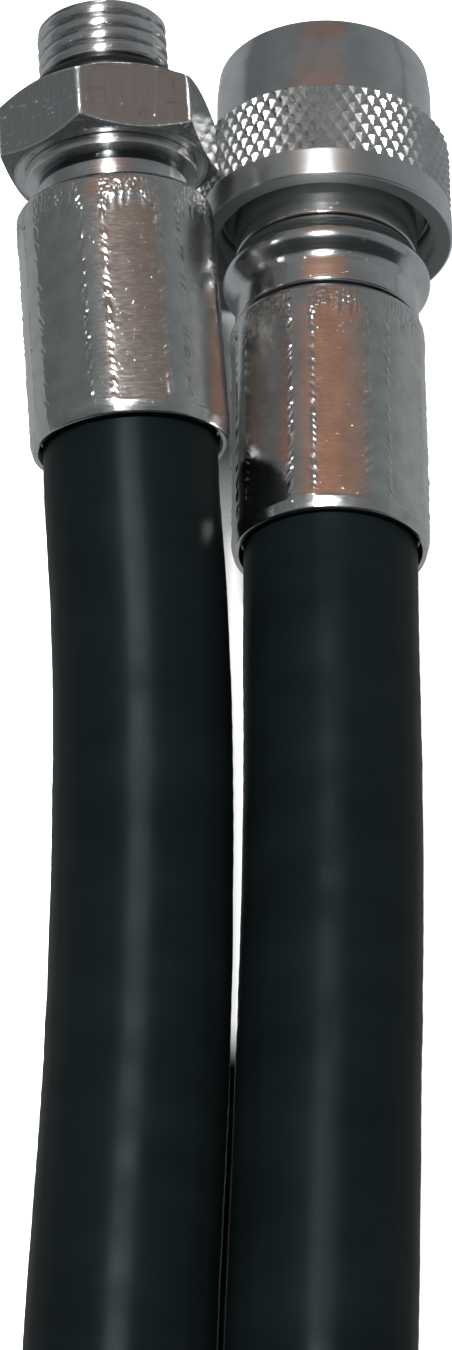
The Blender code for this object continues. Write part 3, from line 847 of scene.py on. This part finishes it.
def coil_spring(name, node, start, end, mean_radius, wire_radius, turns, body,
                materials):
    """A compression spring with one flat closing turn at each end, on a mesh of its own."""
    steps = int(turns * 48)
    share = np.linspace(0.0, 1.0, steps + 1)
    closing = 1.0 / turns
    first, last = start + wire_radius, end - wire_radius
    rise = 2.1 * wire_radius
    station = np.interp(share, [0.0, closing, 1 - closing, 1.0],
                        [first, first + rise, last - rise, last])
    angle = TURN * turns * share
    sides = 14
    around = np.linspace(0.0, TURN, sides, endpoint=False)
    s = station[:, None] + wire_radius * np.sin(around)[None, :]
    r = mean_radius + wire_radius * np.cos(around)[None, :]
    a = angle[:, None]
    points = np.stack([r * np.sin(a), -r * np.cos(a), -s], axis=-1) * MM
    centres = points[[0, -1]].mean(axis=1)
    points = np.concatenate([np.repeat(centres[:1], sides, 0)[None] * 0.999 + points[:1] * 0.001,
                             points,
                             np.repeat(centres[1:], sides, 0)[None] * 0.999 + points[-1:] * 0.001])
    spring = add_mesh(name, points.reshape(-1, 3), ring_faces(len(points), sides, False), COUPLING,
                      body, materials["spring"], 60)
    stands_for(node)
    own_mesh(spring)


# ---------------------------------------------------------------- hose

def smooth_curve(points, spacing):
    """Points at even spacing on the natural cubic spline through the given points."""
    points = np.array(points, dtype=float)
    gaps = np.linalg.norm(np.diff(points, axis=0), axis=1)
    knots = np.concatenate([[0.0], np.cumsum(gaps)])
    count = len(points)
    system = np.eye(count)
    target = np.zeros_like(points)
    for i in range(1, count - 1):
        before, after = gaps[i - 1], gaps[i]
        system[i, i - 1:i + 2] = before, 2 * (before + after), after
        target[i] = 6 * ((points[i + 1] - points[i]) / after - (points[i] - points[i - 1]) / before)
    bend = np.linalg.solve(system, target)
    samples = np.linspace(0.0, knots[-1], int(round(knots[-1] / spacing)) + 1)
    i = np.clip(np.searchsorted(knots, samples) - 1, 0, count - 2)
    width = gaps[i][:, None]
    left = (samples - knots[i])[:, None]
    right = (knots[i + 1] - samples)[:, None]
    return (bend[i] * right ** 3 / (6 * width) + bend[i + 1] * left ** 3 / (6 * width)
            + (points[i] / width - bend[i] * width / 6) * right
            + (points[i + 1] / width - bend[i + 1] * width / 6) * left)


def hose_path(spacing):
    start = PORT @ Vector((0.0, 0.0, -PORT_HOSE_START * MM)) / MM
    end = COUPLING @ Vector((0.0, 0.0, -COUPLING_HOSE_START * MM)) / MM
    return smooth_curve([tuple(start)] + HOSE_ROUTE + [tuple(end)], spacing)


def hose(materials):
    """The free hose, swept upright along its path, with the braid's faint lumps in its cover."""
    path = hose_path(0.8)
    columns = 72
    ahead = np.gradient(path, axis=0)
    ahead /= np.linalg.norm(ahead, axis=1)[:, None]
    side = np.cross(ahead, np.array([0.0, 0.0, 1.0]))
    side /= np.linalg.norm(side, axis=1)[:, None]
    up = np.cross(side, ahead)
    travelled = np.concatenate([[0.0], np.cumsum(np.linalg.norm(np.diff(path, axis=0), axis=1))])
    around = even_angles(columns)
    cells = 10
    turns = around[None, :] / TURN * cells
    climb = travelled[:, None] / 3.1
    lumps = np.sin(TURN * (turns + climb)) * np.sin(TURN * (turns - climb))
    drift = value_noise(turns, travelled[:, None] / 2.4, 5, cells)
    radius = HOSE_RADIUS + HOSE_LUMP * lumps + HOSE_DRIFT * drift - 0.01
    outward = (np.sin(around)[None, :, None] * side[:, None, :]
               + np.cos(around)[None, :, None] * up[:, None, :])
    rings = path[:, None, :] + radius[..., None] * outward
    inset = HOSE_RADIUS - 0.35
    caps = []
    for end, step in ((0, -1.0), (-1, 1.0)):
        tiny = path[end][None, :] + 0.02 * (rings[end] - path[end][None, :]) / HOSE_RADIUS
        edge = path[end][None, :] + inset * (rings[end] - path[end][None, :]) / HOSE_RADIUS
        caps.append((tiny + step * 0.05 * ahead[end], edge + step * 0.05 * ahead[end]))
    points = np.concatenate([caps[0][0][None], caps[0][1][None], rings, caps[1][1][None],
                             caps[1][0][None]])
    tube = add_mesh("hose_cover", points.reshape(-1, 3) * MM,
                    ring_faces(len(points), columns, False), Matrix.Identity(4), "root",
                    materials["hose"], 60)
    lay_uv(tube, columns, np.concatenate([[0.0, 0.0], travelled, [travelled[-1]] * 2]))
    stands_for("hose")


def lay_uv(tube, columns, travelled):
    """UV: U runs once round the hose from 0 to 1, V along it in millimetres."""
    mesh = tube.data
    layer = mesh.uv_layers.new(name="around_and_along")
    index = np.empty(len(mesh.loops), dtype=np.int32)
    mesh.loops.foreach_get("vertex_index", index)
    start = np.empty(len(mesh.polygons), dtype=np.int32)
    mesh.polygons.foreach_get("loop_start", start)
    row, column = index // columns, (index % columns).astype(float)
    quad = column.reshape(-1, 4)
    quad[(quad == 0) & (quad.max(axis=1, keepdims=True) == columns - 1)] = columns
    around = quad.ravel() / columns
    layer.data.foreach_set("uv", np.stack([around, travelled[row]], axis=1).ravel())


# ---------------------------------------------------------------- hidden CAD pieces

def dress_hidden_nodes(materials):
    """Carried-over CAD pieces inside the fittings take the detailed materials."""
    dress = {"lp_hose_liner": "liner", "lp_hose_braid": "braid", "lp_hose_cover": "seal",
             "qd_hose_liner": "liner", "qd_hose_braid": "braid", "qd_hose_cover": "seal",
             "qd_tail_oring": "seal", "valve_core_gasket": "seal", "valve_poppet_seal": "seal"}
    for node, kind in dress.items():
        piece = frame["nodes"][node]
        piece.data.materials.clear()
        piece.data.materials.append(materials[kind])


# ---------------------------------------------------------------- camera, light and floor

def camera():
    data = bpy.data.cameras.new("camera")
    data.sensor_fit = "AUTO"
    data.sensor_width = 36.0
    data.lens = 93.1
    data.clip_start = 0.01
    made = add_object("camera", data, Matrix.Identity(4))
    made.location = Vector((-0.16, -147.2, 221.3)) * MM
    made.rotation_euler = (math.radians(28.8), 0.0, 0.0)
    bpy.context.scene.camera = made


def area_light(name, location, aim, size, power, glossy=True):
    data = bpy.data.lights.new(name, "AREA")
    data.shape = "DISK"
    data.size = size
    data.energy = power
    lamp = add_object(name, data, Matrix.Identity(4))
    lamp.location = location
    lamp.rotation_euler = (Vector(aim) - Vector(location)).to_track_quat("-Z", "Y").to_euler()
    lamp.visible_glossy = glossy


def studio_light():
    area_light("flash", (-0.030, -0.035, 0.370), (0.0, 0.0, 0.01), 0.050, 2.4)
    area_light("overhead", (0.0, 0.1, 1.2), (0.0, -0.05, 0.0), 1.2, 4.0, glossy=False)


# Brown patches that the metal mirrors: centre, inner and outer reach in X, the same in Y, colour
BROWN_PATCHES = [
    ((0.12, 0.34, 0.62), (0.30, 0.10, 0.16), (0.215, 0.168, 0.148)),
    ((-0.08, 0.22, 0.50), (0.45, 0.06, 0.085), (0.56, 0.22, 0.10)),
    ((-0.02, 0.16, 0.42), (0.72, 0.04, 0.09), (0.29, 0.185, 0.145)),
]


def world():
    """A white surround. The metal mirrors it as dim and grey, with soft brown patches ahead."""
    made = bpy.data.worlds.new("studio")
    made.use_nodes = True
    w = Nodes(made.node_tree)
    w.tree.nodes.clear()
    towards = w.node("ShaderNodeTexCoord").outputs["Generated"]
    x, y, z = w.node("ShaderNodeSeparateXYZ", {0: towards}).outputs
    sides = w.mix_colour(w.spread(x, -0.95, 0.95), (0.150, 0.168, 0.174),
                         (0.290, 0.318, 0.327))
    grey = w.mix_colour(w.spread(z, 0.15, 0.75, kind="SMOOTHSTEP"), sides,
                        (0.205, 0.224, 0.230))
    photographer = w.spread(y, -0.10, -0.45, kind="SMOOTHSTEP")
    room = w.mix_colour(photographer, grey, (0.030, 0.034, 0.036))
    for across, ahead, wood in BROWN_PATCHES:
        patch = w.math("MULTIPLY", w.bell(x, *across), w.bell(y, *ahead))
        room = w.mix_colour(patch, room, wood)
    mirrored = w.node("ShaderNodeBackground", {"Color": room})
    seen = w.node("ShaderNodeBackground", {"Color": (1.0, 1.0, 1.0, 1.0)})
    dim = w.node("ShaderNodeBackground", {"Color": (0.30, 0.31, 0.32, 1.0)})
    rays = w.node("ShaderNodeLightPath").outputs
    lighting = w.node("ShaderNodeMixShader", {0: rays["Is Glossy Ray"], 1: dim.outputs[0],
                      2: mirrored.outputs[0]})
    either = w.node("ShaderNodeMixShader", {0: rays["Is Camera Ray"], 1: lighting.outputs[0],
                    2: seen.outputs[0]})
    w.node("ShaderNodeOutputWorld", {"Surface": either.outputs[0]})
    bpy.context.scene.world = made


def floor_paper():
    """Plain and pale, and in reflections a glow that dims into the distance.

    It has painted shadow between the fittings, also in reflections, and in a narrow strip where the
    hoses all but touch.
    """
    s = Shader("pale_floor")
    point = s.object_mm()
    x, y, _ = s.node("ShaderNodeSeparateXYZ", {0: point}).outputs
    # Painted shadow between the fittings: darker paper, no glow, and darker in reflections.
    gap_painted_shadow = s.math("MULTIPLY", s.bell(x, 0.0, 4.0, 12.0), s.spread(y, -24.0, -6.0))
    gap_painted_shadow = s.math("MULTIPLY", gap_painted_shadow, s.spread(y, 16.0, 26.0, 1.0, 0.0))
    # Painted shadow: a narrow dark strip where the hoses all but touch.
    closed = s.math("MULTIPLY", s.bell(x, -0.5, 1.5, 3.5), s.bell(y, -70.0, 14.0, 18.0))
    paper = s.mix_colour(gap_painted_shadow, (0.86, 0.86, 0.86), (0.24, 0.25, 0.255))
    s.set("Base Color", s.mix_colour(closed, paper, (0.02, 0.02, 0.02)))
    s.set("Roughness", 0.9)
    s.set("Specular IOR Level", 0.0)
    s.set("Emission Color", (1.0, 1.0, 1.0, 1.0))
    s.set("Emission Strength", s.spread(s.math("MAXIMUM", gap_painted_shadow, closed), 0.0, 1.0, 0.8, 0.0))
    distance = s.node("ShaderNodeVectorMath", {0: point}, operation="LENGTH").outputs["Value"]
    shade = s.mix_colour(s.spread(distance, 40.0, 350.0), (0.38, 0.40, 0.41),
                         (0.20, 0.215, 0.22))
    mirrored = s.mix_colour(gap_painted_shadow, shade, (0.10, 0.11, 0.115))
    glow = s.node("ShaderNodeEmission", {"Color": mirrored})
    rays = s.node("ShaderNodeLightPath")
    mix = s.node("ShaderNodeMixShader", {0: rays.outputs["Is Glossy Ray"],
                 1: s.principled.outputs[0], 2: glow.outputs[0]})
    output = next(n for n in s.tree.nodes if n.type == "OUTPUT_MATERIAL")
    s.tree.links.new(mix.outputs[0], output.inputs["Surface"])
    return s.material


def floor():
    size, drop = 1.5, -0.0003
    mesh = bpy.data.meshes.new("floor")
    mesh.from_pydata([(-size, -size, drop), (size, -size, drop), (size, size, drop),
                      (-size, size, drop)], [], [(0, 1, 2, 3)])
    mesh.materials.append(floor_paper())
    add_object("floor", mesh, Matrix.Identity(4))


def make_materials():
    return {
        # The stem's collar groove is given painted shade.
        "stem": plated_metal("stem_plating", (0.17, 0.30), 0.85, (12.55, 13.2, 5.45)),
        "plated": plated_metal("bright_plating", (0.13, 0.20), 0.4),
        "sleeve": sleeve_metal(),
        "hexagon": milled_flat_metal(),
        "crimped": crimped_metal(),
        "hose": hose_rubber(),
        "seal": seal_rubber(),
        "liner": liner_rubber(),
        "braid": textile_braid(),
        "spring": spring_steel(),
        "brass": turned_brass(),
    }


def build():
    camera()
    materials = make_materials()
    hose(materials)
    port_stem(materials)
    hexagon(materials)
    ring_seal("port_oring", "lp_port_oring", 5.6, 4.84, 0.815, PORT, materials["seal"])
    ferrule("port_ferrule", "lp_ferrule", PORT_FERRULE_START, math.radians(8.4), 11, PORT,
            materials["crimped"])
    sleeve(materials)
    coupling_body(materials)
    locking_balls(materials)
    coupling_tail(materials)
    small_turned_pieces(materials)
    valve_pin(materials)
    ring_seal("socket_oring", "qd_socket_oring", 8.3, 5.0, 0.7, COUPLING, materials["seal"])
    coil_spring("sleeve_spring", "qd_sleeve_spring", 5.9, SPRING_END, 7.0, 0.27, 4.0,
                "sleeve_carrier", materials)
    coil_spring("valve_core_spring", "valve_spring", 11.0, VALVE_SPRING_END, 1.1, 0.16, 6.0, "root",
                materials)
    ferrule("coupling_ferrule", "qd_ferrule", COUPLING_FERRULE_START, math.radians(5.2), 23,
            COUPLING, materials["crimped"])
    dress_hidden_nodes(materials)
    bpy.context.scene.view_settings.view_transform = "Standard"
    world()
    studio_light()
    floor()


build()
